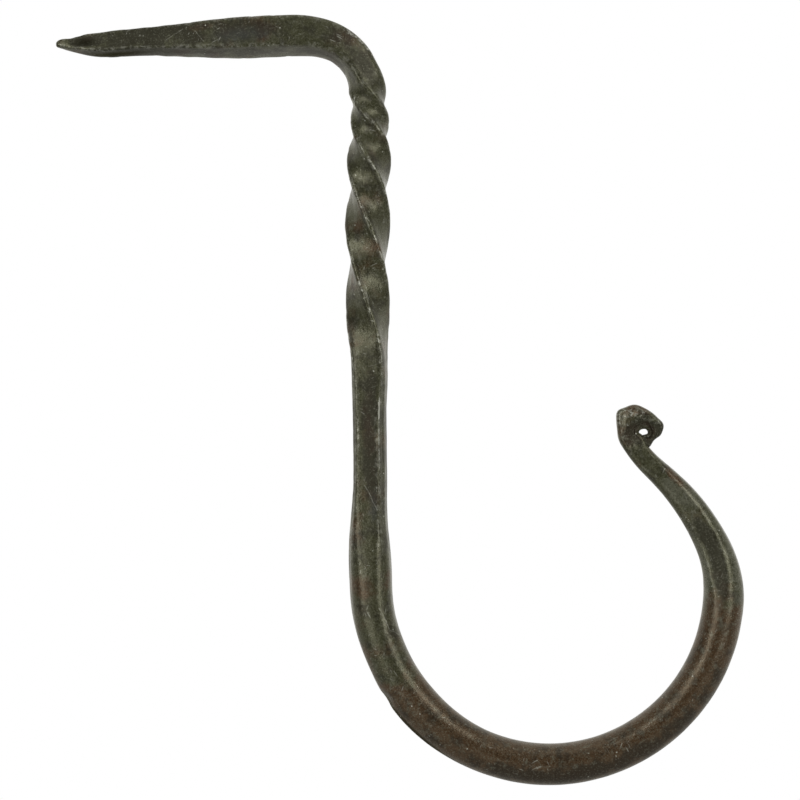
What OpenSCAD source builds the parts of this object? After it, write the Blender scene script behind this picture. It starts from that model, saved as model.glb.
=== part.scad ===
// Hand-forged cup hook, one continuous steel bar.
// From one end to the other it is: a square spike that is driven into the wall,
// a right-angled elbow, a twisted square neck, a plain octagonal shank,
// a round open bowl, a tapering eight-sided limb and a small rolled scroll.
//
// Millimetres. +X points away from the wall, +Z up, Y runs through the bar.
// The origin is on the spike's axis, in the plane of the wall, which the
// corners of the twist just touch.

/* [Bar] */
// Diameter of the round bar
bar_d = 6; // [5:0.1:7.5]
// Side of the square bar where it is twisted
twist_side = 4.9; // [4:0.1:5.8]
// Side of the square bar at the root of the spike
spike_side = 4.9; // [4:0.1:5.8]
// Side of the bar through the first, tight turns below the elbow
tight_side = 4.4; // [4:0.1:5.8]
// Width of the shank's narrowest part, below the twist
shank_side = 4.5; // [4:0.1:5.8]

/* [Spike] */
// Length of the spike, from its tip to the start of the elbow
spike_length = 33; // [28:0.1:50]
// Length of full-size bar between the taper and the elbow
root_length = 4.5; // [2:0.5:9]
// Length of the blunt point
point_length = 5; // [4:0.5:9]
// Side of the spike at the shoulder of its point
point_side = 2.6; // [2:0.1:3.6]
// Length, from the tip, at which the spike starts to swell
drawn_length = 13.5; // [10:0.5:17]
// Side of the spike at that place
drawn_side = 3.4; // [2.8:0.1:4]
// Side of the blunted tip
tip_side = 0.8; // [0.5:0.1:1.5]
// Angle through which the spike bows upwards along its length
spike_bow = 0.5; // [0:0.5:8]
// Roll of the spike's flats out of the plane of the hook
spike_roll = 20; // [0:1:40]

/* [Elbow] */
// Angle of the elbow
elbow_angle = 92; // [80:1:100]
// Length of bar in the elbow
elbow_length = 18.9; // [15:0.1:26]

/* [Twist] */
// Length by which the twist starts before the elbow ends
overlap = 1.3; // [0:0.1:3]
// Length of the part turn that leads from the elbow into the twist
part_turn = 4.2; // [3:0.1:6]
// Length of the first quarter turn, at the elbow
quarter_1 = 4.6; // [3:0.1:8]
// Length of the second quarter turn
quarter_2 = 7.4; // [5:0.1:12]
// Length of the third quarter turn
quarter_3 = 10.5; // [6:0.1:16]
// Length of the last quarter turn, above the shank
quarter_4 = 14.8; // [8:0.1:20]

// Angle that the top of the twist leans out from the wall
top_lean = 1.4; // [0:0.1:5]
// Angle that the twist leans back towards the bowl along its length
twist_lean = 2.3; // [0:0.1:4]

/* [Shank] */
// Length of the straight shank, from the twist to the bend of the bowl
shank_length = 29.7; // [22:0.1:50]
// Length below the twist over which the bar settles to its narrowest
settle_length = 8; // [3:0.5:8]
// Roll that the twist leaves in the shank's flats
shank_roll = 8; // [0:1:20]
// Length of the shank's narrowest part
narrow_length = 11; // [4:0.5:11]

/* [Bowl] */
// Radius of the inside of the bowl
bowl_r = 22; // [17:0.5:30]
// Angle of the even curve of the bowl
bowl_angle = 152; // [130:0.5:158]
// Width of the bar at the end of the bowl
bowl_end_w = 5.9; // [5:0.1:7.5]
// Width of the bar where it swells, at the start of the bowl
swell_w = 6.4; // [6:0.1:7.8]
// Length of bar from the start of the bowl to that place
swell_at = 7.5; // [4:0.5:10]
// Angle of the gentle bend that leads from the shank into the bowl
lead_angle = 23; // [10:1:30]
// Length of that bend
lead_length = 12.5; // [8:0.5:20]

/* [Limb] */
// Length of the rising limb, as it starts to taper
rise_length = 8.8; // [6:0.1:14]
// Angle that the rising limb turns inwards
rise_angle = 30; // [15:0.5:35]
// Width of the limb where the rise ends
rise_w = 4.8; // [4:0.1:6]
// Roll of the limb's flats
limb_roll = 5; // [0:1:15]
// Length of the arched neck above the rise
neck_length = 13; // [9:0.5:18]
// Angle that the arched neck turns inwards
neck_angle = 23.5; // [10:0.5:35]
// Width of the limb half way along the arched neck
neck_w = 4.1; // [3.6:0.1:5]
// Length of the throat, which bends back out under the scroll
throat_length = 6; // [5:0.1:9]
// Angle that the throat bends back
throat_angle = 15; // [5:1:20]
// Width of the throat at its narrowest
throat_w = 3.1; // [2.8:0.1:3.6]
// Depth of the throat, through the bar
throat_depth = 3.5; // [2.8:0.1:4]

/* [Scroll] */
// Width of the eye that is left open in the scroll
eye_w = 1.4; // [1:0.1:1.7]
// Height of that eye
eye_h = 1; // [0.8:0.1:1.6]
// Width of the bar at the folded corner, its thickest place in the scroll
fold_w = 4.1; // [3.4:0.1:4.6]
// Width of the bar over the top of the scroll
crown_w = 2.5; // [2:0.1:3]
// Width of the bar at its free end
end_w = 1.6; // [1.2:0.1:1.8]
// Depth of the bar at its free end
end_depth = 2.7; // [2:0.1:3.4]
// Gap between the free end and the throat that it is closed against
seam_gap = 0.1; // [0.1:0.05:0.4]

/* [Edges] */
// Share of a square face that is flat, between its hammered corners
square_flat = 0.82; // [0.6:0.02:0.9]
// Share of the face that is left flat by the tight turns
tight_flat = 0.7; // [0.4:0.02:0.8]
// Share of the face that is flat on the shank
shank_flat = 0.66; // [0.5:0.02:0.8]
// Share of the face that is flat on the limb
limb_flat = 0.46; // [0.3:0.02:0.6]
// How far the hammered corners bulge, from a straight bevel (0) to round (1)
corner_bulge = 0.5; // [0:0.05:1]

/* [Hidden] */

// ---- the bar's path: a chain of bends in the XZ plane --------------------------------------
EVEN = 0;       // curvature stays the same along the bend
EASED = 1;      // curvature swells and dies away again
QUARTER = 90;

top_length = quarter_1 + quarter_2 - overlap;       // leaning top of the twist, below the elbow
bowl_length = (bowl_r + bar_d / 2) * bowl_angle * PI / 180;

// Each bend: length, turn (left is positive), kind
BENDS = [
    [spike_length, -spike_bow, EVEN],
    [elbow_length, -elbow_angle, EASED],
    [top_length, -top_lean, EVEN],
    [quarter_3 + quarter_4, twist_lean, EVEN],
    [shank_length, -twist_lean / 2, EVEN],
    [lead_length, lead_angle, EASED],
    [bowl_length, bowl_angle, EVEN],
    [rise_length, rise_angle, EVEN],
    [neck_length, neck_angle, EVEN],
    [throat_length, -throat_angle, EASED],
];
SHANK_HEADING = -90;
START_HEADING = SHANK_HEADING + elbow_angle + spike_bow + top_lean - twist_lean / 2;

function sum(list, count, i = 0) = i >= count ? 0 : list[i] + sum(list, count, i + 1);
function column(table, c) = [for (row = table) row[c]];
function mix(a, b, share) = a + (b - a) * share;

// Distance along the bar at which each bend starts, and at the end of the last one
BEND_START = [for (i = [0:len(BENDS)]) sum(column(BENDS, 0), i)];
spike_end = BEND_START[1];
elbow_end = BEND_START[2];
twist_start = elbow_end - overlap;
twist_end = BEND_START[4];
shank_end = BEND_START[5];
lead_end = BEND_START[6];
bowl_end = BEND_START[7];
rise_end = BEND_START[8];
neck_end = BEND_START[9];
throat_end = BEND_START[10];

function bend_at(s, i = 0) = i == len(BENDS) - 1 || s < BEND_START[i + 1] ? i : bend_at(s, i + 1);
function heading(s) =
    let (
        i = bend_at(s),
        share = (s - BEND_START[i]) / BENDS[i][0],
        turned = BENDS[i][2] == EASED ? share * share * (3 - 2 * share) : share
    )
    START_HEADING + sum(column(BENDS, 1), i) + BENDS[i][1] * turned;

function ahead(h) = [cos(h), 0, sin(h)];        // along the bar
function leftward(h) = [-sin(h), 0, cos(h)];    // across the bar, in the plane of the hook
ACROSS = [0, 1, 0];                             // through the bar

// ---- smooth values between named places ----------------------------------------------------
// Each table has rows of [place, value, value, ...]. A monotone cubic runs through its rows.
function rise_of(t, c, i) = (t[i + 1][c] - t[i][c]) / (t[i + 1][0] - t[i][0]);
function slope_at(t, c, i) =
    i == 0 ? rise_of(t, c, 0)
    : i == len(t) - 1 ? rise_of(t, c, i - 1)
    : let (before = rise_of(t, c, i - 1), after = rise_of(t, c, i))
      before * after <= 0 ? 0 : 2 * before * after / (before + after);
function row_at(t, x, i = 0) = i == len(t) - 2 || x < t[i + 1][0] ? i : row_at(t, x, i + 1);
function value(t, c, x) =
    let (
        i = row_at(t, x),
        run = t[i + 1][0] - t[i][0],
        u = max(0, min(1, (x - t[i][0]) / run)),
        v = 1 - u
    )
    v * v * (1 + 2 * u) * t[i][c] + u * u * (1 + 2 * v) * t[i + 1][c]
    + u * v * run * (v * slope_at(t, c, i) - u * slope_at(t, c, i + 1));

// Roll of the section about the bar: the twist takes it from -5 quarters nearly to nothing
ROLL = [
    [0, -5 * QUARTER + spike_roll],
    [twist_start - part_turn, -5 * QUARTER + spike_roll],
    [twist_start, -4 * QUARTER],
    [twist_start + quarter_1, -3 * QUARTER],
    [twist_start + quarter_1 + quarter_2, -2 * QUARTER],
    [twist_end - quarter_4, -QUARTER],
    [twist_end, -shank_roll],
    [shank_end, -shank_roll],
    [bowl_end, limb_roll],
    [neck_end, limb_roll],
    [throat_end, 0],
];

// Section along the bar: place, width, depth, flat share, roundness (0 is flat, 1 is round)
ROUND = 1;
OCTAGON = tan(22.5);
SECTION = [
    [0, tip_side, tip_side, square_flat, 0.6],
    [point_length, point_side, point_side, square_flat, 0],
    [drawn_length, drawn_side, drawn_side, square_flat, 0],
    [spike_end - root_length, spike_side, spike_side, square_flat, 0],
    [spike_end, spike_side, spike_side, square_flat, 0],
    [twist_start - part_turn, tight_side, tight_side, tight_flat, 0],
    [twist_start + quarter_1 / 2, tight_side, tight_side, tight_flat, 0],
    [twist_start + quarter_1 + quarter_2 / 3, twist_side, twist_side, square_flat, 0],
    [twist_end - quarter_4 / 2, twist_side, twist_side, square_flat, 0],
    [twist_end + settle_length, shank_side, shank_side, shank_flat, 0],
    [twist_end + settle_length + narrow_length, shank_side, shank_side, shank_flat, 0],
    [shank_end, bar_d, bar_d, OCTAGON, 0.35],
    [lead_end, bar_d, bar_d, OCTAGON, 0.7],
    [lead_end + swell_at, swell_w, bar_d, OCTAGON, 0.9],
    [mix(lead_end, bowl_end, 0.3), bar_d, bar_d, OCTAGON, ROUND],
    [bowl_end, bowl_end_w, bar_d, OCTAGON, ROUND],
    [rise_end, rise_w, rise_w, limb_flat, 0],
    [mix(rise_end, neck_end, 0.5), neck_w, neck_w, limb_flat, 0],
    [mix(neck_end, throat_end, 0.5), throat_w, throat_depth, limb_flat, 0],
    [throat_end, throat_w, throat_depth, limb_flat, 0.3],
];

// Scroll: angle rolled, width, depth, flat share, roundness
FOLD_AT = 73;       // angles at which the bar was folded, crowned and drawn down
CROWN_AT = 150;
DRAWN_AT = 185;
SCROLL = [
    [0, throat_w, throat_depth, limb_flat, 0.3],
    [FOLD_AT / 2, throat_w, throat_depth, limb_flat, 0.3],
    [FOLD_AT, fold_w, throat_depth, limb_flat, 0.3],
    [CROWN_AT, crown_w, mix(throat_depth, end_depth, 0.5), limb_flat, 0.3],
    [DRAWN_AT, mix(crown_w, end_w, 0.3), mix(throat_depth, end_depth, 0.7), limb_flat, 0.3],
    [270, end_w, end_depth, limb_flat, 0.3],
    [360, end_w, end_depth, limb_flat, 0.3],
];

// The eye is an ellipse. The scroll's inner face follows it, in radial planes.
function eye_r(angle) = eye_w * eye_h / 2 / norm([eye_h * cos(angle), eye_w * sin(angle)]);
scroll_heading = heading(throat_end);
throat_side = eye_r(scroll_heading + 90);       // distance from the eye's centre to the throat
end_r = eye_h / 2 + end_w / 2;
// The free end stops where its face lies along the throat, a seam's width away
end_slant = asin((throat_side - seam_gap) / end_r);
scroll_angle = 270 + end_slant;
SLANT_FROM = 200;                               // angle at which the planes start to lean

// ---- rings --------------------------------------------------------------------------------
// Places along the bar, in steps that follow how fast it bends, twists or swells
function steps(from, to, count) = [for (i = [0:count - 1]) mix(from, to, i / count)];
PLACES = [
    each steps(0, point_length, 5),
    each steps(point_length, spike_end, 14),
    each steps(spike_end, twist_start - part_turn, 12),
    each steps(twist_start - part_turn, twist_start, 9),
    each steps(twist_start, twist_start + quarter_1, 10),
    each steps(twist_start + quarter_1, twist_start + quarter_1 + quarter_2, 10),
    each steps(twist_start + quarter_1 + quarter_2, twist_end - quarter_4, 10),
    each steps(twist_end - quarter_4, twist_end, 10),
    each steps(twist_end, shank_end, 12),
    each steps(shank_end, lead_end, 6),
    each steps(lead_end, bowl_end, 32),
    each steps(bowl_end, rise_end, 7),
    each steps(rise_end, neck_end, 8),
    each steps(neck_end, throat_end, 5),
    throat_end,
];
SCROLL_STEPS = 30;
ROLLED = [for (i = [1:SCROLL_STEPS]) scroll_angle * i / SCROLL_STEPS];

// Centres of the rings along the bar, by stepping from one place to the next
RAW_PATH = [
    for (
        i = 0, p = [0, 0, 0];
        i < len(PLACES);
        p = p + (i + 1 < len(PLACES)
            ? (PLACES[i + 1] - PLACES[i]) * ahead(heading((PLACES[i] + PLACES[i + 1]) / 2))
            : [0, 0, 0]),
        i = i + 1
    ) p
];

// Index of the ring at a place that starts a run of steps
function ring_of(s) = [for (i = [0:len(PLACES) - 1]) if (abs(PLACES[i] - s) < 0.001) i][0];
// Corners of the twist reach half a diagonal behind the axis
corner_reach = twist_side / 2 * norm([1, 1]) * mix(square_flat, 1, mix(0.5, cos(45), corner_bulge));
ORIGIN = [
    RAW_PATH[ring_of(twist_start + quarter_1)].x - corner_reach,
    0,
    RAW_PATH[ring_of(spike_end)].z,
];
PATH = [for (p = RAW_PATH) p - ORIGIN];

// A ring: centre, heading, width, depth, flat share, roundness, roll, slant
function bar_ring(i) =
    let (s = PLACES[i])
    [PATH[i], heading(s), for (c = [1:4]) value(SECTION, c, s), value(ROLL, 1, s), 0];

EYE = PATH[len(PATH) - 1] - (throat_side + throat_w / 2) * leftward(scroll_heading);
function scroll_ring(a) =
    let (
        h = scroll_heading - a,
        w = value(SCROLL, 1, a),
        lean = end_slant * max(0, (a - SLANT_FROM) / (scroll_angle - SLANT_FROM))
    )
    [EYE + (eye_r(h + 90) + w / 2) * leftward(h), h, for (c = [1:4]) value(SCROLL, c, a), 0, lean];

// An end is closed by smaller rings, each pushed a little further out
EDGE_ROUND = 0.1;
function shrunk(ring, share, push) =
    [ring[0] + push * ahead(ring[1]), ring[1], ring[2] * share, ring[3] * share,
     ring[4], ring[5], ring[6], ring[7]];

BAR_RINGS = [for (i = [0:len(PLACES) - 1]) bar_ring(i)];
SCROLL_RINGS = [for (a = ROLLED) scroll_ring(a)];
TIP_RING = BAR_RINGS[0];
END_RING = SCROLL_RINGS[len(SCROLL_RINGS) - 1];
RINGS = [
    shrunk(TIP_RING, 0.5, -tip_side / 4),
    each BAR_RINGS,
    each SCROLL_RINGS,
    shrunk(END_RING, 1 - 2 * EDGE_ROUND / end_w, EDGE_ROUND),
];

// ---- section ------------------------------------------------------------------------------
// Eight points a side: four along the flat, then four round the corner
FLAT_POINTS = 4;
SIDE_POINTS = 8;
RING_POINTS = 4 * SIDE_POINTS;

// A point of a square of half side 1, with its corners hammered down
function hammered(j, flat) =
    j < FLAT_POINTS
    ? [1, flat * (2 * j / FLAT_POINTS - 1)]
    : let (
          u = (j - FLAT_POINTS) / (SIDE_POINTS - FLAT_POINTS),
          bevel = [mix(1, flat, u), mix(flat, 1, u)],
          arc = [flat, flat] + (1 - flat) * [cos(QUARTER * u), sin(QUARTER * u)]
      )
      mix(bevel, arc, corner_bulge);
function turned(p, a) = [p.x * cos(a) - p.y * sin(a), p.x * sin(a) + p.y * cos(a)];
function outline(i, flat, roundness) =
    let (
        j = i % SIDE_POINTS,
        side = QUARTER * floor(i / SIDE_POINTS),
        angle = QUARTER * (j - FLAT_POINTS / 2) / SIDE_POINTS
    )
    turned(mix(hammered(j, flat), [cos(angle), sin(angle)], roundness), side);

function ring_point(ring, i) =
    let (
        p = outline(i, ring[4], ring[5]),
        q = turned([p.x * ring[2] / 2, p.y * ring[3] / 2], ring[6])
    )
    ring[0] + q.x * (leftward(ring[1]) - tan(ring[7]) * ahead(ring[1])) + q.y * ACROSS;

// ---- skin ---------------------------------------------------------------------------------
function index(ring, i) = ring * RING_POINTS + i % RING_POINTS;
// Two triangles between neighbouring rings
function patch(r, i) = [
    [index(r, i), index(r + 1, i + 1), index(r + 1, i)],
    [index(r, i), index(r, i + 1), index(r + 1, i + 1)],
];
LAST = len(RINGS) - 1;
POINTS = [
    for (ring = RINGS, i = [0:RING_POINTS - 1]) ring_point(ring, i),
    RINGS[0][0],
    RINGS[LAST][0],
];
TIP_POLE = len(POINTS) - 2;
END_POLE = len(POINTS) - 1;
FACES = [
    for (r = [0:LAST - 1], i = [0:RING_POINTS - 1]) each patch(r, i),
    for (i = [0:RING_POINTS - 1]) [TIP_POLE, index(0, i + 1), index(0, i)],
    for (i = [0:RING_POINTS - 1]) [END_POLE, index(LAST, i), index(LAST, i + 1)],
];

// The whole hook is one forged bar
module hook() {
    color([0.20, 0.20, 0.17])
        polyhedron(points = POINTS, faces = FACES, convexity = 10);
}

hook();
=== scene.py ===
import math
from functools import reduce

import bmesh
import bpy
import numpy as np
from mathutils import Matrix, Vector, noise


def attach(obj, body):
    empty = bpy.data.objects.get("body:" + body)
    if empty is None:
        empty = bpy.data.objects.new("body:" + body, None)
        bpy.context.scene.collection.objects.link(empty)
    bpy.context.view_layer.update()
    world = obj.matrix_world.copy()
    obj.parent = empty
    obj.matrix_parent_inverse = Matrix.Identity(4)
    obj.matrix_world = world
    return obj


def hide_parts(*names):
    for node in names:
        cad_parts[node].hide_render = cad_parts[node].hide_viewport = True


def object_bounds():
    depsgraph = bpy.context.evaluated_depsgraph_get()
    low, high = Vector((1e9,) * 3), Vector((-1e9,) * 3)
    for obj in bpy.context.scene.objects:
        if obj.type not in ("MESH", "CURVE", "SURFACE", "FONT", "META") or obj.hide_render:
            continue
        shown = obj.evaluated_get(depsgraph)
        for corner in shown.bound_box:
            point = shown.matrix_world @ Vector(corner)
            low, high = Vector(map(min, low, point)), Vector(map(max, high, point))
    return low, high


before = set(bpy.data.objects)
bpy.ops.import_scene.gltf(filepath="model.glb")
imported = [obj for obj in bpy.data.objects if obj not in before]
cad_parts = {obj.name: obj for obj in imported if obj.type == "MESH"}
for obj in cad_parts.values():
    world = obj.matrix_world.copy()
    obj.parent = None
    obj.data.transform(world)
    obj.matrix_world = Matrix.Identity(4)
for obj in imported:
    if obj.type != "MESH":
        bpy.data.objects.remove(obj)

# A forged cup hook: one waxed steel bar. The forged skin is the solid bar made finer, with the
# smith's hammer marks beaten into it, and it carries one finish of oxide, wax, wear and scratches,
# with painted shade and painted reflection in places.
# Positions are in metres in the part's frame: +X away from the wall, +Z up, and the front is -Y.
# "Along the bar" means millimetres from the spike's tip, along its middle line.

MM = 0.001
NODE = "hook"
solid_low, solid_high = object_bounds()

# Where the bar's stretches end, in millimetres along it
SQUARE_AT = 25          # where the spike is at its squarest
SPIKE_END = 33
ELBOW_END = 46.4
TWIST_END = 87.9
FOOT_END = 130.1
BOWL_END = 196.4
LIMB_END = 221
SCROLL_END = 233.8


# ---- the forged skin ---------------------------------------------------------------------------

def ring_numbers(bm):
    """Each vertex's ring across the bar, counted from the pole at the spike's tip."""
    most = max(len(v.link_edges) for v in bm.verts)
    poles = [v for v in bm.verts if len(v.link_edges) == most]
    front = [min(poles, key=lambda v: v.co.x)]
    ring = {front[0]: 0}
    while front:
        after = ring[front[0]] + 1
        front = list({e.other_vert(v) for v in front for e in v.link_edges} - ring.keys())
        ring.update((v, after) for v in front)
    return ring


def diagonals(bm, ring):
    """The edges that split each patch between two rings into triangles."""
    families = ([], [])
    for face in bm.faces:
        low = min(ring[v] for v in face.verts)
        lone = [loop for loop in face.loops if ring[loop.vert] == low]
        if low > 0 and len(lone) == 1:
            families[0].append(lone[0].edge)
            families[1].append(lone[0].link_loop_prev.edge)
    return max(families, key=lambda edges: sum(e.calc_length() for e in edges))


def mark_bar(ring, place, side):
    """Gives each vertex its place in the unrolled bar, and the direction there to the bar's left.

    The place is how far the vertex is along the bar, beside its middle line and through it.
    """
    rings = [[] for _ in range(max(ring.values()) + 1)]
    for v, number in ring.items():
        rings[number].append(v)
    middles = [sum((v.co for v in r), Vector()) / len(r) for r in rings]
    along = 0
    for i, members in enumerate(rings):
        along += (middles[i] - middles[i - 1]).length if i else 0
        heading = (middles[min(i + 1, len(rings) - 1)] - middles[max(i - 1, 0)]).normalized()
        left = Vector((-heading.z, 0, heading.x))
        for v in members:
            v[place] = (along, (v.co - middles[i]).dot(left), v.co.y)
            v[side] = left


def lap(ring, start):
    """The vertices of one ring, in order round the bar."""
    order = [start]
    while True:
        near = [e.other_vert(order[-1]) for e in order[-1].link_edges]
        ahead = [v for v in near if ring[v] == ring[start] and v not in order[-2:]]
        if ahead[0] is start:
            return order
        order.append(ahead[0])


def mark_ridges(ring, place, layer):
    """Gives each vertex its distance round the skin from the nearest arris, in metres.

    The four arrises are followed both ways along the bar from the square part of the spike.
    """
    last = max(ring.values())
    square = ring[min(ring, key=lambda v: abs(v[place].x - SQUARE_AT * MM))]
    spike = [v for v in ring if ring[v] == square]
    centre = sum((v.co for v in spike), Vector()) / len(spike)
    corner = max(spike, key=lambda v: (v.co - centre).length)
    for step in (1, -1):
        first = corner
        while 0 < ring[first] < last:
            order = lap(ring, first)
            quarter = len(order) // 4
            gaps = [(v.co - order[i - 1].co).length for i, v in enumerate(order)]
            for i, v in enumerate(order):
                back = i - i % quarter
                behind = sum(gaps[back + 1:i + 1])
                ahead = sum(gaps[i + 1:back + quarter]) + gaps[(back + quarter) % len(order)]
                v[layer] = min(behind, ahead)
            first = next(e.other_vert(first) for e in first.link_edges
                         if ring[e.other_vert(first)] == ring[first] + step)


FINER = 2                   # how many times each face is split in four
WELD = 0.001 * MM           # vertices closer than this are one and the same


def finer_bar(node):
    """The solid bar as an even grid of four-sided faces, with its place in the bar on each vertex."""
    bm = bmesh.new()
    bm.from_mesh(node.data)
    place = bm.verts.layers.float_vector.new("bar")
    side = bm.verts.layers.float_vector.new("left")
    ridge = bm.verts.layers.float.new("ridge")
    bmesh.ops.remove_doubles(bm, verts=bm.verts, dist=WELD)
    ring = ring_numbers(bm)
    bmesh.ops.dissolve_edges(bm, edges=diagonals(bm, ring), use_verts=False)
    mark_bar(ring, place, side)
    mark_ridges(ring, place, ridge)
    mesh = bpy.data.meshes.new("forged_hook")
    bm.to_mesh(mesh)
    bm.free()
    bar = bpy.data.objects.new("forged_hook", mesh)
    bpy.context.scene.collection.objects.link(bar)
    rounded = bar.modifiers.new("rounded", "SUBSURF")
    rounded.levels = rounded.render_levels = FINER
    fine = bpy.data.meshes.new_from_object(bar.evaluated_get(bpy.context.evaluated_depsgraph_get()))
    bar.modifiers.clear()
    bar.data = fine
    return bar


def read(mesh, kind):
    """A vector that each vertex has, as rows of three numbers. "normal" is the skin's own normal."""
    values = np.zeros(len(mesh.vertices) * 3, np.float32)
    source = mesh.vertex_normals if kind == "normal" else mesh.attributes[kind].data
    source.foreach_get("vector", values)
    return values.reshape(-1, 3).astype(float)


def joined(mesh):
    """The two ends of every edge, as two lists of vertex numbers."""
    ends = np.zeros(len(mesh.edges) * 2, np.int32)
    mesh.edges.foreach_get("vertices", ends)
    return ends.reshape(-1, 2).T


def averaged(values, ends):
    """Each vertex's mean over the vertices that it is joined to."""
    total = np.zeros(values.shape)
    count = np.zeros(len(values))
    for here, there in (ends, ends[::-1]):
        np.add.at(total, here, values[there])
        np.add.at(count, here, 1)
    return (total.T / count).T


def sharpness(places, normals, ends):
    """How sharply the bar is curved outwards at each vertex, per millimetre."""
    a, b = ends
    step = places[a] - places[b]
    turn = normals[a] - normals[b]
    bend = (step * turn).sum(1) / np.maximum((step * step).sum(1), 1e-14) * MM
    sharp = np.zeros(len(places))
    np.maximum.at(sharp, a, bend)
    np.maximum.at(sharp, b, bend)
    for _ in range(2):
        sharp = 0.5 * sharp + 0.5 * averaged(sharp, ends)
    return sharp


def ramp(x, start, end):
    """0 before start, 1 after end, and a smooth rise between them."""
    t = np.clip((x - start) / (end - start), 0, 1)
    return t * t * (3 - 2 * t)


def stretch(along, start, end, fade=3.0):
    """1 between two places along the bar, fading out over a few millimetres past each."""
    return ramp(along, start - fade, start) * (1 - ramp(along, end, end + fade))


def lumps(points, seed):
    """Smooth noise, from -1 to 1, at rows of points."""
    shift = Vector((17.3 * seed, 5.1 * seed, 9.7 * seed))
    return np.array([noise.noise(Vector(p) + shift) for p in points])


def craters(points, seed):
    """Shallow hammer craters, from 0 at their rims to 1 in the middle, at rows of points."""
    shift = Vector((3.7 * seed, 13.9 * seed, 7.1 * seed))
    nearest = np.array([noise.voronoi(Vector(p) + shift)[0][:2] for p in points])
    return ramp(nearest[:, 1] - nearest[:, 0], 0, 0.6)


def along_bar(along, table):
    """A table's value at each place along the bar."""
    return np.interp(along, *zip(*table))


# ---- the smith's marks -------------------------------------------------------------------------

EYE = (42.45, -56.4)    # middle of the scroll's eye, in millimetres across and up
SEAM_PUSH = 0.25        # how far the scroll's free end is tapped on to the throat, in millimetres
BLOWS = [
    # across, up; reach; shift across, up; all in millimetres
    ((-40.9, -0.8), 1.8, (0.0, 0.35)),      # the spike's point, blunted upwards
    ((-34.5, -3.0), 5.0, (0.0, -0.26)),     # the belly behind it
    ((0.1, -9.2), 4.0, (-0.20, 0.0)),       # the twist's first turns, a little swollen
    ((6.1, -12.8), 4.0, (0.20, 0.0)),
    ((-0.2, -27.8), 5.0, (-0.15, 0.0)),
    ((5.9, -47.8), 7.0, (0.22, 0.0)),       # the twist's end on the right
    ((0.5, -70.6), 9.0, (-0.34, 0.0)),      # low on the shank, leaning to the left
    ((42.5, -57.6), 1.5, (0.0, 0.45)),      # under the eye
    ((44.2, -58.0), 1.5, (-0.32, 0.30)),    # the free end, on the right
    ((45.3, -55.6), 1.5, (0.32, 0.10)),     # the corner on the right
    ((38.6, -53.7), 1.5, (-0.18, 0.22)),    # the corner on the left
    ((41.2, -52.8), 1.6, (0.0, 0.14)),      # the crown
]
FLATS = [
    # from, to along the bar; turn from the front towards the bar's left, in degrees; depth
    (84.0, 114.0, -6, 0.18),        # the shank's front and the bevels beside it
    (82.0, 116.0, -60, 0.15),
    (84.0, 116.0, 52, 0.42),
    (103.0, 127.0, -76, 0.16),      # the outer side, low on the shank and on the foot
    (195.5, 213.0, 12, 0.20),       # the limb's long flat
    (215.0, 238.0, 0, 0.32),        # both faces of the scroll
    (215.0, 238.0, 180, 0.32),
]

# How far the hammer has rounded off the arrises: place along the bar, share in each pass
SOFT_PASSES = 50
SOFTNESS = [
    (0, 0.0), (8, 0.04), (32, 0.04),                                            # spike
    (37, 1.0), (48, 1.0),                                                       # elbow
    (53, 0.2), (58, 0.03), (84, 0.02),                                          # twist
    (90, 0.05), (118, 0.05),                                                    # shank
    (124, 0.1), (150, 0.1), (156, 0.0), (190, 0.0),                             # foot, bowl
    (196, 0.07), (209, 0.07), (213, 0.14), (222, 0.14), (225, 0.12), (234, 0.12),   # limb, scroll
]

# How strongly the arrises get their painted-shade crease and their worn line: place along the bar,
# strength
EDGE_WEAR_AND_SHADE = [
    (0, 0.1), (33, 0.1), (40, 0.0), (50, 0.0), (56, 0.4), (64, 0.8), (86, 0.8), (92, 0.35),
    (112, 0.25), (119, 0.0), (234, 0.0),
]

# How deep the hammer's waves and craters are, in millimetres: on the plain bar, and what is
# added on the spike, on the twist and on the scroll's faces. Then how long, wide and deep they
# lie in the bar, and the same for the chips in its arrises and the knobs on the scroll. All are
# in millimetres, as are the funnel's sizes and the scale's.
WAVE_DEPTH = (0.03, 0.05, 0.07, 0.12)
CRATER_DEPTH = (0.015, 0.03, 0.04, 0.12)
CHIP_DEPTH = 0.05
KNOB_DEPTH = 0.22
WAVE_SIZE = (7, 4, 4)
CRATER_SIZE = (3.6, 2.6, 2.6)
CHIP_SIZE = 1.3
KNOB_SIZE = 0.9
FUNNEL_DEPTH = 0.45         # how far the skin sinks towards the scroll's eye
FUNNEL_FROM = 0.7           # it is deepest up to here from the eye's middle
FUNNEL_TO = 2.1             # and ends here
SCALE = 0.04                # how thick the forge scale lies on the bar

# Local marks, among them painted shade and painted reflection. Each is a middle and a reach, given
# along the bar, beside its middle line (plus is the bar's left as it runs on from the spike) and
# through it (minus is the front), and then a strength. A dent's strength is its depth. All lengths
# are in millimetres.
DENTS = [
    ((4.2, 0.4, -1.2), (3.0, 1.2, 1.2), 0.32),      # hollow beside the spike's point
    ((14.0, -0.4, -1.8), (4.5, 1.6, 1.2), 0.10),    # hammer flats on the spike
    ((22.5, 1.0, -2.4), (5.0, 1.8, 1.4), 0.12),
    ((29.0, -0.6, -2.6), (4.0, 2.2, 1.4), 0.10),
    ((135.0, -3.0, -0.8), (1.6, 1.2, 2.4), 0.30),   # knock on the outside of the bowl
    ((206.0, 0.4, -2.4), (9.0, 1.0, 1.0), 0.10),    # long flat on the limb
    ((226.5, 1.4, -1.6), (2.2, 1.2, 1.2), 0.30),    # blows that shaped the scroll's head
    ((229.5, 0.6, -1.5), (1.6, 1.0, 1.0), 0.20),
]
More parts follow.
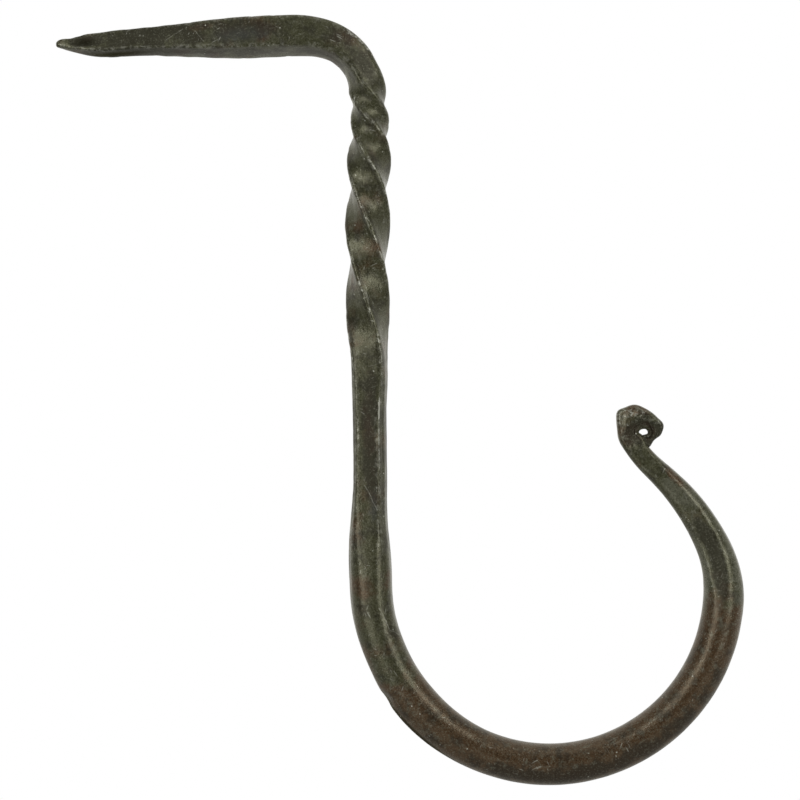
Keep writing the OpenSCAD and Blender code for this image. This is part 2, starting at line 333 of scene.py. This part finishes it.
MARKS = {
    # dark marks: soot patches, and painted shade where noted
    "soot_and_shade": [
        ((4.4, 0.5, -0.9), (3.4, 1.2, 1.4), 3.0),           # painted shade in the hollow beside the spike's point
        ((9.0, -1.6, -0.6), (11.0, 1.6, 2.6), 2.2),         # painted shade under the spike
        ((20.0, -2.4, -1.6), (20.0, 1.6, 2.6), 1.2),
        ((16.0, 0.6, -2.0), (22.0, 4.0, 4.0), 0.9),         # the spike's front
        ((27.0, 0.8, -2.6), (6.0, 1.6, 1.6), 0.5),
        ((42.0, 1.0, -2.4), (9.0, 3.0, 2.6), 0.8),          # elbow
        # painted shade on the elbow's inner side
        ((40.0, -2.6, -1.2), (9.0, 1.6, 2.6), 1.2),
        # painted shade on the elbow's front, where the lamp's highlight falls
        ((45.5, 0.6, -2.4), (4.0, 2.0, 1.6), 0.6),
        ((47.0, -1.8, -1.4), (2.4, 1.4, 1.6), 0.8),         # painted shade in the notch above the twist
        ((56.0, 0.0, -2.6), (12.0, 2.4, 1.8), 0.2),         # painted shade on the twist's first turns
        ((92.0, 0.2, -2.4), (9.0, 1.6, 1.2), 0.6),          # the shank's front
        ((97.0, -0.2, -2.4), (14.0, 1.8, 1.2), 0.7),
        ((103.5, 0.2, -2.4), (5.0, 1.4, 1.2), 1.4),
        ((100.0, 2.9, 0.4), (18.0, 1.2, 3.2), 1.8),         # the shank's sides
        ((102.0, -2.6, -0.4), (18.0, 1.0, 2.4), 1.2),
        ((141.0, -3.0, -0.4), (9.0, 0.6, 1.8), 3.0),        # painted shade under the bowl and along the outer half of its front
        ((166.0, -1.6, -2.2), (28.0, 2.0, 2.2), 1.2),
        ((202.0, 0.3, -2.5), (8.0, 1.5, 1.2), 2.4),         # painted shade on the limb's long flat
        ((207.5, 0.2, -2.3), (4.5, 1.2, 1.0), 2.2),
        ((225.5, -0.4, -1.6), (2.6, 1.4, 1.4), 1.5),        # painted shade round the scroll's eye and down its funnel
        ((228.5, -0.8, -1.5), (5.0, 1.8, 1.6), 1.3),
        ((233.0, 0.0, -1.0), (2.6, 3.0, 3.0), 2.4),         # the scroll's seam
    ],
    "rusty": [
        ((20.5, 1.8, -2.0), (2.4, 1.2, 1.6), 0.8),          # the spike's front
        ((29.5, -0.3, -2.8), (2.2, 1.6, 1.2), 0.5),
        ((42.0, 1.8, -2.2), (4.0, 1.4, 1.6), 0.35),         # elbow
        ((56.0, -2.0, -2.0), (3.0, 1.4, 1.6), 0.4),         # twist
        ((66.0, -1.0, -2.6), (4.0, 1.6, 1.4), 0.3),
        ((94.0, -0.4, -2.4), (10.0, 1.8, 1.4), 0.6),        # shank
        ((216.6, -1.1, -1.8), (3.0, 0.9, 1.2), 1.0),        # neck
        ((221.0, -0.2, -1.8), (4.5, 1.8, 1.4), -0.9),       # clean steel at the throat
        ((229.0, 1.0, -1.2), (2.0, 1.2, 1.2), 1.2),         # scroll
        ((228.5, 0.0, -1.5), (8.0, 4.0, 3.0), 0.4),
    ],
    # pale haze, and painted reflection where noted
    "pale": [
        ((24.0, -1.2, -2.6), (6.0, 1.4, 1.2), 0.6),         # the spike's front
        ((112.0, -2.6, -0.8), (7.0, 0.9, 1.8), 0.9),        # painted reflection on the outer side, low on the shank
        ((194.0, 0.4, -2.9), (8.0, 2.0, 1.2), 0.4),         # below the limb's long flat
        ((203.5, 2.2, -1.6), (9.0, 1.1, 1.8), 2.0),         # painted reflection on the bevels beside it
        ((203.5, -2.0, -1.9), (10.0, 1.3, 1.8), 1.2),
        ((212.0, -1.0, -2.0), (6.0, 1.0, 1.4), 0.8),        # neck
        ((215.5, 0.4, -2.0), (3.6, 1.4, 1.2), 1.0),
        ((214.0, 0.2, -2.0), (8.0, 2.2, 1.4), 1.0),
        ((226.0, 1.8, -0.9), (2.6, 1.2, 1.4), 1.0),         # scroll
        ((228.5, 0.2, -1.5), (7.0, 3.6, 2.6), 0.6),
    ],
    # bare wear, and painted highlight and reflection where noted
    "wear_and_sheen": [
        ((31.0, -1.4, -2.7), (1.6, 0.6, 0.8), 0.9),         # the spike's lower arris
        ((43.0, 2.6, -1.4), (6.0, 0.6, 1.4), 0.9),          # the elbow's outside
        ((50.5, -2.3, -1.5), (1.8, 1.5, 1.6), 1.1),         # the twist's first turn
        ((94.0, 1.55, -2.2), (2.6, 0.5, 0.7), 1.0),         # worn edges of the shank's front, partly painted highlight
        ((98.0, 1.55, -2.2), (10.0, 0.3, 0.8), 1.1),
        ((106.0, 1.0, -2.4), (4.0, 0.35, 0.8), 0.8),
        ((98.0, -1.7, -2.2), (10.0, 0.3, 0.8), 0.9),
        ((111.5, -2.65, -0.9), (10.0, 0.5, 1.2), 0.8),      # painted reflection on the outer side, low on the shank
        ((201.0, -2.65, -0.5), (3.4, 0.5, 1.5), 0.7),       # the limb's outer side
        ((226.2, 2.4, -0.8), (1.6, 0.6, 1.2), 0.9),         # scroll
        ((227.0, 2.0, -0.9), (2.4, 1.0, 1.4), 0.4),
        ((228.4, 0.5, -1.7), (0.7, 0.5, 0.8), 0.3),
        ((228.5, 1.0, -1.2), (8.0, 3.6, 2.6), 0.42),
        ((233.2, -0.4, -0.9), (0.8, 0.7, 0.9), 0.8),
    ],
    "blued": [
        ((26.5, 0.4, -2.8), (6.5, 1.9, 1.6), 1.4),          # the spike's root
        ((108.5, 0.7, -2.4), (3.4, 1.0, 1.0), 1.6),         # low on the shank's front
    ],
    # dark marks: painted shade where noted, and a dark mark by the scroll's free end
    "burn_and_shade": [
        ((4.0, 0.3, -1.0), (3.0, 1.2, 1.6), 0.62),          # painted shade in the hollow beside the spike's point
        ((7.8, -1.55, -0.5), (8.0, 0.8, 1.6), 1.1),         # painted shade under the spike
        ((140.5, -3.0, -0.6), (9.0, 0.7, 1.8), 1.8),        # painted shade under the bowl
        ((226.4, -0.3, -1.7), (3.2, 1.9, 1.6), 0.36),       # painted shade round the scroll's eye
        ((231.5, -0.6, -1.4), (2.4, 1.0, 1.2), 0.5),
    ],
}


def marked(bar, marks):
    """How strongly a list of marks shows at each place in the unrolled bar."""
    total = np.zeros(len(bar))
    for middle, reach, strength in marks:
        away = np.linalg.norm((bar - np.array(middle)) / np.array(reach), axis=1)
        total += strength * (1 - ramp(away, 0, 1))
    return total


def flatten(places, unrolled, left):
    """Beats the hammer flats: what stands proud of a plane along the bar is laid back on to it."""
    stations, station = np.unique(np.round(unrolled[:, 0], 2), return_inverse=True)
    for start, end, turn, depth in FLATS:
        beside, through = math.sin(math.radians(turn)), -math.cos(math.radians(turn))
        height = unrolled[:, 1] * beside + unrolled[:, 2] * through
        crest = np.zeros(len(stations))
        np.maximum.at(crest, station, height)
        share = np.clip(1 - ((2 * unrolled[:, 0] - start - end) / (end - start)) ** 2, 0, 1)
        proud = height - crest[station] + depth * share
        proud = np.maximum(proud, 0) * (share > 0)
        places -= proud[:, None] * (left * beside + np.array((0, through, 0))) * MM


def shift(places, spot, reach, move):
    """Moves the skin near a spot, given in millimetres across and up, and less the further away."""
    away = np.linalg.norm(places[:, (0, 2)] / MM - spot, axis=1)
    places[:, (0, 2)] += (1 - ramp(away, 0, reach))[:, None] * np.array(move) * MM


def shut_seam(places, along):
    """Taps the scroll's free end on to its throat."""
    end = places[along > SCROLL_END - 0.5].mean(0)
    throat = places[(along > LIMB_END - 4) & (along < LIMB_END + 3)]
    gap = throat[np.linalg.norm(throat - end, axis=1).argmin()] - end
    gap[1] = 0
    push = gap / np.linalg.norm(gap) * SEAM_PUSH * MM
    places += ramp(along, SCROLL_END - 3.5, SCROLL_END - 0.5)[:, None] * push


def soften(places, along, ends):
    """Rounds off the arrises where the bar was worked the most."""
    share = along_bar(along, SOFTNESS)[:, None]
    for _ in range(SOFT_PASSES):
        places += share * (averaged(places, ends) - places)


def mark_depth(places, unrolled, normals, arris):
    """How deep each vertex is beaten in, and how far down the eye's funnel it lies, from 0 to 1."""
    along = unrolled[:, 0]
    rolled = stretch(along, LIMB_END, SCROLL_END)
    faces = rolled * normals[:, 1] ** 2
    drawn = stretch(along, 0, SPIKE_END)
    twisted = stretch(along, ELBOW_END, TWIST_END)
    worked = (np.ones(len(along)), drawn, twisted, faces)
    waves = 0.5 + 0.5 * lumps(unrolled / WAVE_SIZE, 1)
    marks = craters(unrolled / CRATER_SIZE, 2)
    chips = ramp(lumps(unrolled / CHIP_SIZE, 3), 0.1, 0.5)
    knobs = 0.5 + 0.5 * lumps(places / MM / KNOB_SIZE, 4)
    from_eye = np.linalg.norm(places[:, (0, 2)] / MM - EYE, axis=1)
    funnel = faces * (1 - ramp(from_eye, FUNNEL_FROM, FUNNEL_TO))

    depth = np.dot(WAVE_DEPTH, worked) * waves + np.dot(CRATER_DEPTH, worked) * marks
    depth += CHIP_DEPTH * chips * arris * (1 - rolled) + KNOB_DEPTH * faces * knobs
    depth += FUNNEL_DEPTH * funnel + marked(unrolled, DENTS) - SCALE
    return depth, funnel


def move_skin(mesh, places):
    mesh.vertices.foreach_set("co", places.astype(np.float32).ravel())
    mesh.update()


def paint(mesh, name, values):
    """Keeps a number on each vertex, for the finish to read."""
    layer = mesh.attributes.new(name, "FLOAT", "POINT")
    layer.data.foreach_set("value", values.astype(np.float32))


def hammer(bar):
    """Beats the smith's marks into the bar, and paints on it what the finish reads."""
    mesh = bar.data
    ends = joined(mesh)
    places = read(mesh, "position")
    unrolled = read(mesh, "bar") / MM
    along = unrolled[:, 0]
    flatten(places, unrolled, read(mesh, "left"))
    soften(places, along, ends)
    shut_seam(places, along)
    for spot, reach, move in BLOWS:
        shift(places, spot, reach, move)
    move_skin(mesh, places)

    normals = read(mesh, "normal")
    arris = ramp(sharpness(places, normals, ends), 0.3, 1.2)
    depth, funnel = mark_depth(places, unrolled, normals, arris)
    mesh.polygons.foreach_set("use_smooth", np.ones(len(mesh.polygons), bool))
    move_skin(mesh, places - normals * depth[:, None] * MM)

    paint(mesh, "arris", arris * (1 - stretch(along, LIMB_END - 12, SCROLL_END, 5)))
    paint(mesh, "edge", along_bar(along, EDGE_WEAR_AND_SHADE))
    # Painted shade in what is beaten in and down the eye's funnel, with rust in the funnel too
    hollows = {"soot_and_shade": ramp(depth, 0.05, 0.4) * 0.5 + funnel, "rusty": funnel * 0.5}
    for name, marks in MARKS.items():
        paint(mesh, name, marked(unrolled, marks) + hollows.get(name, 0))


# ---- finish ------------------------------------------------------------------------------------

class Value:
    """A shader socket that takes part in Python sums. Each operator adds its Math node."""

    def __init__(self, finish, socket):
        self.finish, self.socket = finish, socket

    def math(self, operation, other=0.0):
        return self.finish.node("ShaderNodeMath", {"operation": operation}, {0: self, 1: other})

    def __add__(self, other):
        return self.math("ADD", other)

    def __sub__(self, other):
        return self.math("SUBTRACT", other)

    def __rsub__(self, other):
        return (self * -1.0).math("ADD", other)

    def __mul__(self, other):
        return self.math("MULTIPLY", other)

    __radd__, __rmul__ = __add__, __mul__

    def over(self, other):
        """The larger of two values."""
        return self.math("MAXIMUM", other)

    def ramp(self, start, end, low=0.0, high=1.0):
        """A smooth rise from low at start to high at end."""
        settings = {"interpolation_type": "SMOOTHSTEP"}
        inputs = {0: self, 1: start, 2: end, 3: low, 4: high}
        return self.finish.node("ShaderNodeMapRange", settings, inputs)


class Finish:
    """One material, built node by node."""

    def __init__(self, owner):
        self.owner = owner
        owner.use_nodes = True
        self.tree = owner.node_tree
        self.tree.nodes.clear()

    def node(self, kind, settings=None, inputs=None, output=0):
        """A node with its settings made first, then its sockets' values and links."""
        made = self.tree.nodes.new(kind)
        for name, value in (settings or {}).items():
            setattr(made, name, value)
        for name, value in (inputs or {}).items():
            if isinstance(value, Value):
                self.tree.links.new(value.socket, made.inputs[name])
            else:
                made.inputs[name].default_value = value
        return Value(self, made.outputs[output]) if made.outputs else None

    def vector(self, operation, a, b=None, output=0, **extra):
        inputs = {0: a, **extra} if b is None else {0: a, 1: b, **extra}
        return self.node("ShaderNodeVectorMath", {"operation": operation}, inputs, output)

    def part(self, vector, axis):
        """One of a vector's three numbers: 0 is across, 1 is through and 2 is up."""
        return self.node("ShaderNodeSeparateXYZ", {}, {0: vector}, axis)

    def mix(self, share, a, b):
        """Colour a, turning into colour b as share goes to 1."""
        return self.node("ShaderNodeMix", {"data_type": "RGBA"}, {0: share, 6: a, 7: b}, 2)

    def noise(self, at, size, detail=3.0, rough=0.55, output="Fac"):
        """Soft noise from 0 to 1, with lumps of about that size in at's units."""
        inputs = {"Vector": at, "Scale": 1 / size, "Detail": detail, "Roughness": rough}
        return self.node("ShaderNodeTexNoise", {}, inputs, output)

    def attribute(self, name, output):
        return self.node("ShaderNodeAttribute", {"attribute_name": name}, {}, output)

    def ray(self, kind):
        return self.node("ShaderNodeLightPath", {}, {}, f"Is {kind} Ray")


OLIVE = (0.048, 0.0485, 0.0235, 1)      # forge scale under wax
BROWN = (0.061, 0.031, 0.013, 1)        # the same, rusted
BLACK = (0.010, 0.009, 0.003, 1)        # soot on the olive, and painted shade
UMBER = (0.013, 0.006, 0.002, 1)        # soot on the brown, and painted shade there
BLOOM = (0.125, 0.125, 0.092, 1)        # the wax's dusty bloom, and the colour of painted reflection
BLUE = (0.040, 0.044, 0.046, 1)         # blued by the fire
BARE = (0.40, 0.40, 0.34, 1)            # bare metal, and the colour of painted highlight and reflection

# How far from each arris its painted-shade crease and its bare line lie, in millimetres
CREASE_AT = 0.5
LINE_AT = 0.08
PIT_DEPTH = 0.08        # how deep the pits and the grain look, in millimetres

# Stray scratches, in millimetres and degrees: the fine hairs, and the ends of the long nicks,
# across and up
HAIR_TURNS = (25, 70, 118, 160)     # the ways that they lie
HAIR_SQUEEZE = 0.12                 # their noise is squeezed to this share, which draws them out
HAIR_WIDTH = 0.22
NICKS = [
    ((-23.4, 0.9), (-25.6, -0.6)),      # on the spike
    ((-21.6, 0.6), (-20.4, -1.0)),
    ((3.2, -47.4), (5.3, -46.5)),       # at the twist's end
    ((2.4, -63.8), (4.4, -67.8)),       # low on the shank
    ((4.7, -81.7), (6.2, -84.9)),       # on the foot
    ((6.2, -84.9), (7.5, -85.5)),
    ((42.5, -54.9), (44.2, -54.8)),     # on the scroll
    ((39.9, -53.3), (38.9, -53.0)),
]
NICK_WANDER = 0.6       # how far a nick strays from straight
NICK_CORE = 0.02        # it is bright this far from its middle
NICK_EDGE = 0.09        # and gone by here


def scale_colours(f, along, patches, rusty):
    """The olive scale, browned in patches and round the bowl, and the dark colour on each, used for
    sooted patches and for painted shade.
    """
    bowl = along.ramp(FOOT_END - 8, FOOT_END + 22) * along.ramp(BOWL_END + 5, BOWL_END - 7)
    browned = (patches + bowl * 0.4 + rusty * 0.3).ramp(0.50, 0.70) * 0.9
    return f.mix(browned, OLIVE, BROWN), f.mix(browned, BLACK, UMBER)


def wax(f, colour, dark, haze_and_sheen, grain, head):
    """Wax: a pale bloom where it is hazy and on the grain, and dark in between. Some of the hazy places
    are painted reflection.
    """
    colour = f.mix(haze_and_sheen * 0.55, colour, BLOOM)
    colour = f.mix(grain.ramp(0.52, 0.68) * (head * 0.3 + 0.65), colour, BLOOM)
    return f.mix(grain.ramp(0.48, 0.36) * (head * 0.3 + 0.7), colour, dark)


def arrises(f, mm, colour, broken):
    """Painted shade in a dark crease on each side of every arris, and a thin broken line of bare metal.
    """
    ridge = f.attribute("ridge", "Fac") * (1 / MM)
    edge = f.attribute("edge", "Fac")
    wander = f.noise(mm, 1.8, 3.0) * 0.5 - 0.25
    # painted shade: a dark crease beside each arris
    crease = (ridge - CREASE_AT + wander).math("ABSOLUTE").ramp(0.4, 0.08)
    creased = f.noise(mm, 3.1, 2.0).ramp(0.42, 0.56)
    colour = f.mix(edge * crease * creased * 0.8, colour, BLACK)
    line = (ridge - LINE_AT + wander * 0.6).math("ABSOLUTE").ramp(0.13, 0.03)
    return f.mix((edge * line + f.attribute("arris", "Fac") * 0.2) * broken, colour, BARE)


def hairs(f, mm, colour):
    """Fine hair scratches, in clumps."""
    for turn in HAIR_TURNS:
        turned = f.node("ShaderNodeVectorRotate", {"rotation_type": "Y_AXIS"},
                        {"Vector": mm, "Angle": math.radians(turn)})
        squeezed = f.vector("MULTIPLY", turned, (HAIR_SQUEEZE, 1.0, 1.0))
        scratched = f.noise(squeezed, HAIR_WIDTH, 1.0, 0.4).ramp(0.70, 0.76)
        clumps = f.noise(turned, 4.0, 2.0).ramp(0.50, 0.62)
        colour = f.mix(scratched * clumps * 0.4, colour, BARE)
    return colour


def nick(f, at, start, end):
    """A thin scratch between two points given across and up."""
    run = Vector((end[0] - start[0], 0, end[1] - start[1]))
    flat = f.vector("MULTIPLY", at, (1, 0, 1))
    away = f.vector("SUBTRACT", flat, (start[0], 0, start[1]))
    share = f.vector("DOT_PRODUCT", away, run / run.length_squared, "Value")
    share = share.math("MAXIMUM", 0.0).math("MINIMUM", 1.0)
    nearest = f.vector("SCALE", tuple(run), Scale=share)
    return f.vector("DISTANCE", away, nearest, "Value").ramp(NICK_EDGE, NICK_CORE)


def long_nicks(f, mm, colour, broken):
    """The few long scratches on the front."""
    stray = f.vector("SUBTRACT", f.noise(mm, 1.5, 2.0, output="Color"), (0.5, 0.5, 0.5))
    bent = f.vector("ADD", mm, f.vector("SCALE", stray, Scale=NICK_WANDER))
    cut = reduce(Value.over, [nick(f, bent, start, end) for start, end in NICKS])
    front = f.part(mm, 1).ramp(0.0, -0.6)
    return f.mix(cut * front * broken.ramp(-0.4, 0.8) * 0.4, colour, BARE)


def specks(f, mm, colour):
    """Pale dust, with one round speck in about a quarter of the cells that it is scattered over."""
    cells = {"Vector": mm, "Scale": 0.75, "Randomness": 1.0}
    speck = f.node("ShaderNodeTexVoronoi", {}, cells, "Distance").ramp(0.10, 0.05)
    lucky = f.part(f.node("ShaderNodeTexVoronoi", {}, cells, "Color"), 0).ramp(0.76, 0.78)
    return f.mix(speck * lucky * 0.8, colour, BARE)


def pits(f, mm, grain):
    """The skin's pits and grain, as a bump."""
    height = f.noise(mm, 0.9, 5.0, 0.65) * 0.75 + grain * 0.24
    inputs = {"Strength": 1.0, "Distance": PIT_DEPTH * MM, "Height": height}
    return f.node("ShaderNodeBump", {}, inputs)


def waxed_steel():
    """Dark forge scale under wax: olive grey and brown, bare and pale along its arrises, with painted
    shade and painted reflection in places.
    """
    f = Finish(bpy.data.materials.new("waxed_forged_steel"))
    mm = f.vector("SCALE", f.node("ShaderNodeTexCoord", {}, {}, "Object"), Scale=1 / MM)
    along = f.part(f.vector("SCALE", f.attribute("bar", "Vector"), Scale=1 / MM), 0)
    head = along.ramp(LIMB_END, LIMB_END + 4)
    soot_and_shade, rusty, pale, wear_and_sheen, blued, burn_and_shade = (f.attribute(name, "Fac") for name in MARKS)
    burn_and_shade = burn_and_shade.ramp(0.0, 1.0)
    patches = f.noise(mm, 5.0, 4.0)
    grain = f.noise(mm, 0.26, 4.0, 0.75)
    soot_and_shade_cover = (f.noise(mm, 2.6, 6.0, 0.68) + soot_and_shade * 0.2 - pale * 0.1).ramp(0.46, 0.66)
    haze_and_sheen = (f.noise(mm, 1.0, 6.0, 0.7) + pale * 0.14 - soot_and_shade * 0.1).ramp(0.51, 0.69)
    broken = f.noise(mm, 0.9, 6.0, 0.8).ramp(0.48, 0.60)
    rubbed_and_sheen = (f.noise(mm, 0.6, 6.0, 0.8) + wear_and_sheen * 0.3 + head * 0.04).ramp(0.68, 0.84)

    colour, dark = scale_colours(f, along, patches, rusty)
    # Dark soot patches, and painted shade under the spike, the elbow and the bowl and in the hollows
    colour = f.mix(soot_and_shade_cover * 0.9, colour, dark)
    colour = wax(f, colour, dark, haze_and_sheen, grain, head)
    colour = f.mix(blued * haze_and_sheen.ramp(0.0, 0.7, 0.35, 0.8), colour, BLUE)
    # Painted shade under the spike and the bowl and in the hollows, and a dark mark by the scroll's free
    # end
    colour = f.mix(burn_and_shade * 0.95, colour, dark)
    colour = arrises(f, mm, colour, broken)
    # Rubbed bare metal, and painted highlight and reflection along some edges and side faces
    colour = f.mix(rubbed_and_sheen * 0.9, colour, BARE)
    colour = hairs(f, mm, colour)
    colour = long_nicks(f, mm, colour, broken)
    colour = specks(f, mm, colour)

    shader = f.node("ShaderNodeBsdfPrincipled", {}, {
        "Base Color": colour,
        "Metallic": burn_and_shade * 0.7 + 0.25,
        "Roughness": grain * 0.14 + patches * 0.1 + soot_and_shade_cover * 0.08 + soot_and_shade * 0.12 + 0.15,
        "Normal": pits(f, mm, grain),
        "IOR": 1.54,
        "Specular Tint": (1.0, 0.96, 0.76, 1),
    })
    f.node("ShaderNodeOutputMaterial", {}, {"Surface": shader})
    return f.owner


# ---- studio ------------------------------------------------------------------------------------

FLOOR_RADIUS = 0.26
FLOOR_DROP = 0.02
FLOOR_SHADE = 0.7
FLOOR_LIFT = 0.32       # the glow that makes up the last step to white
LIGHT_BELOW = 0.18
LIGHT_ABOVE = 0.42
LENS = 300              # in millimetres, on Blender's own 36 mm sensor
MARGIN = 1.038          # how much wider the picture is than the hook is tall
SOFTBOXES = {
    # azimuth, elevation, in degrees; distance; width and height, in metres; power, in watts
    "left_softbox": (-33, 12, 0.6, (0.18, 0.6), 1.55),
    "right_softbox": (42, 16, 0.6, (0.18, 0.56), 1.55),
    "top_softbox": (0, 70, 0.7, (0.6, 0.4), 0.6),
}
middle = (solid_low + solid_high) / 2


def floor_paint():
    """A pale matt floor, clear at its rim, that keeps the hook's shadow.

    The eye sees it lifted to white. A reflection sees half of that, and only behind the hook.
    """
    f = Finish(bpy.data.materials.new("pale_floor"))
    place = f.node("ShaderNodeTexCoord", {}, {}, "Object")
    behind = f.part(place, 1).ramp(0.0, 0.012)
    seen = f.ray("Camera").over(f.ray("Transmission")).over(f.ray("Glossy") * behind * 0.5)
    paint = f.node("ShaderNodeBsdfDiffuse", {}, {"Color": (FLOOR_SHADE, FLOOR_SHADE, FLOOR_SHADE, 1)})
    glow = f.node("ShaderNodeEmission", {}, {"Color": (1, 1, 1, 1), "Strength": FLOOR_LIFT})
    lifted = f.node("ShaderNodeAddShader", {}, {0: paint, 1: glow})
    pale = f.node("ShaderNodeMixShader", {}, {0: seen, 1: paint, 2: lifted})
    rim = f.vector("LENGTH", place, output="Value").ramp(FLOOR_RADIUS * 0.55, FLOOR_RADIUS * 0.98)
    clear = f.node("ShaderNodeBsdfTransparent")
    faded = f.node("ShaderNodeMixShader", {}, {0: rim, 1: pale, 2: clear})
    f.node("ShaderNodeOutputMaterial", {}, {"Surface": faded})
    return f.owner


def lay_floor():
    bm = bmesh.new()
    bmesh.ops.create_circle(bm, cap_ends=True, segments=96, radius=FLOOR_RADIUS)
    mesh = bpy.data.meshes.new("floor")
    bm.to_mesh(mesh)
    bm.free()
    floor = bpy.data.objects.new("floor", mesh)
    floor.location = (middle.x, middle.y, solid_low.z - FLOOR_DROP)
    mesh.materials.append(floor_paint())
    bpy.context.scene.collection.objects.link(floor)


def softbox(name, azimuth, elevation, distance, size, power):
    """A soft lamp that faces the object. Azimuth 0 is the camera's side, and 90 is +X."""
    turn = math.radians(azimuth)
    rise = math.radians(elevation)
    towards = Vector((math.sin(turn) * math.cos(rise), -math.cos(turn) * math.cos(rise), math.sin(rise)))
    lamp = bpy.data.lights.new(name, "AREA")
    lamp.shape = "RECTANGLE"
    lamp.size, lamp.size_y = size
    lamp.energy = power
    holder = bpy.data.objects.new(name, lamp)
    holder.location = middle + towards * distance
    holder.rotation_mode = "QUATERNION"
    holder.rotation_quaternion = towards.to_track_quat("Z", "Y")
    bpy.context.scene.collection.objects.link(holder)


def light_room():
    """White where the eye looks past the object, with plain grey light from below and above.

    A reflection sees a dark room on the camera's side and a white wall behind the object.
    """
    world = bpy.data.worlds.new("studio")
    bpy.context.scene.world = world
    f = Finish(world)
    glossy = f.ray("Glossy")
    look = f.node("ShaderNodeTexCoord", {}, {}, "Generated")
    sheet = f.part(look, 1).ramp(-0.5, 0.4, 0.06, 1.0)
    white = f.ray("Camera").over(glossy * sheet).over(f.ray("Transmission"))
    matt = (1.0 - glossy) * f.part(look, 2).ramp(-1.0, 1.0, LIGHT_BELOW, LIGHT_ABOVE)
    light = f.node("ShaderNodeBackground", {}, {"Color": (1, 1, 1, 1), "Strength": white.over(matt)})
    f.node("ShaderNodeOutputWorld", {}, {"Surface": light})


def set_camera():
    """A long lens, square on to the hook's face."""
    data = bpy.data.cameras.new("camera")
    data.lens = LENS
    data.clip_end = 10
    width = (solid_high.z - solid_low.z) * MARGIN
    camera = bpy.data.objects.new("camera", data)
    camera.location = (middle.x, middle.y - width * LENS / data.sensor_width, middle.z)
    camera.rotation_euler = (math.pi / 2, 0, 0)
    bpy.context.scene.collection.objects.link(camera)
    bpy.context.scene.camera = camera


# ---- the scene ---------------------------------------------------------------------------------

hook = finer_bar(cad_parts[NODE])
hammer(hook)
hook.data.materials.clear()
hook.data.materials.append(waxed_steel())
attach(hook, "root")
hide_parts(NODE)

lay_floor()
for name, lamp in SOFTBOXES.items():
    softbox(name, *lamp)
light_room()
set_camera()

bpy.context.scene.view_settings.view_transform = "Standard"
